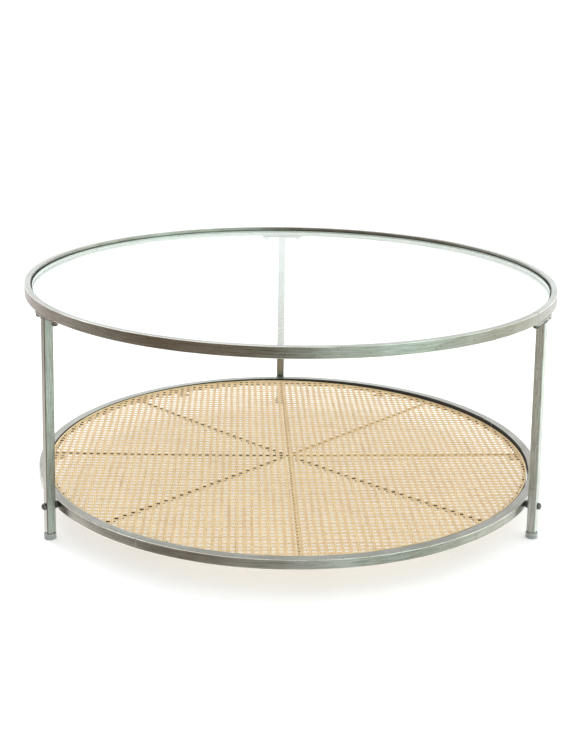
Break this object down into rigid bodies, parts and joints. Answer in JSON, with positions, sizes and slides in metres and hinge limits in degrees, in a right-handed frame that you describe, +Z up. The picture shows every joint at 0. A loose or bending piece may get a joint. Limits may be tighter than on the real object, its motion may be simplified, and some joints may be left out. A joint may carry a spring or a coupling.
{
  "type": "coffee table",
  "caption": "Round coffee table: glass top lying in a steel ring, three square legs, and a loose woven cane shelf panel in a lower ring.",
  "frame": {"origin": "on the floor, in the middle of the table's footprint", "axes": "+Z up, +Y towards the back leg, +X to the right; the front left and front right legs are towards -Y"},
  "size_m": [0.9, 0.9108, 0.385],
  "materials": {
    "zinc_steel": "brushed, waxed zinc grey with a faint green and brown cast",
    "screw_steel": "smooth, dull bright",
    "clear_glass": "clear, polished edge with a pale green tint",
    "clear_pad": "clear, soft",
    "cane": "natural straw cane, satin",
    "brown_wood": "brown, matt",
    "foot_plastic": "grey, satin",
    "spacer_plastic": "black, satin"
  },
  "bodies": {
    "frame": {"top_ring": "zinc_steel", "glass_ledge": "zinc_steel", "lower_ring": "zinc_steel", "leg_back": "zinc_steel", "leg_plate_back": "zinc_steel", "plate_screw_back_1": "screw_steel", "plate_screw_back_2": "screw_steel", "shelf_bolt_back": "screw_steel", "rivet_nut_back": "screw_steel", "spacer_back": "spacer_plastic", "foot_back": "foot_plastic", "leg_left": "zinc_steel", "leg_plate_left": "zinc_steel", "plate_screw_left_1": "screw_steel", "plate_screw_left_2": "screw_steel", "shelf_bolt_left": "screw_steel", "rivet_nut_left": "screw_steel", "spacer_left": "spacer_plastic", "foot_left": "foot_plastic", "leg_right": "zinc_steel", "leg_plate_right": "zinc_steel", "plate_screw_right_1": "screw_steel", "plate_screw_right_2": "screw_steel", "shelf_bolt_right": "screw_steel", "rivet_nut_right": "screw_steel", "spacer_right": "spacer_plastic", "foot_right": "foot_plastic", "shelf_tab_1": "zinc_steel", "glass_pad_1": "clear_pad", "shelf_tab_2": "zinc_steel", "glass_pad_2": "clear_pad", "shelf_tab_3": "zinc_steel", "glass_pad_3": "clear_pad", "shelf_tab_4": "zinc_steel", "glass_pad_4": "clear_pad", "shelf_tab_5": "zinc_steel", "glass_pad_5": "clear_pad", "shelf_tab_6": "zinc_steel", "glass_pad_6": "clear_pad"},
    "glass": {"glass_top": "clear_glass"},
    "shelf_panel": {"panel_hoop": "brown_wood", "panel_bar_long": "brown_wood", "panel_bar_right": "brown_wood", "panel_bar_left": "brown_wood", "panel_bar_back_right": "brown_wood", "panel_bar_back_left": "brown_wood", "panel_bar_front_left": "brown_wood", "panel_bar_front_right": "brown_wood", "cane_sheet": "cane", "panel_edging": "cane"}
  },
  "joints": [
    {"name": "glass_lift", "type": "slide", "parent": "frame", "child": "glass", "axis": [0, 0, 1], "range_m": [0, 0.12]},
    {"name": "shelf_panel_lift", "type": "slide", "parent": "frame", "child": "shelf_panel", "axis": [0, 0, 1], "range_m": [0, 0.2]}
  ]
}
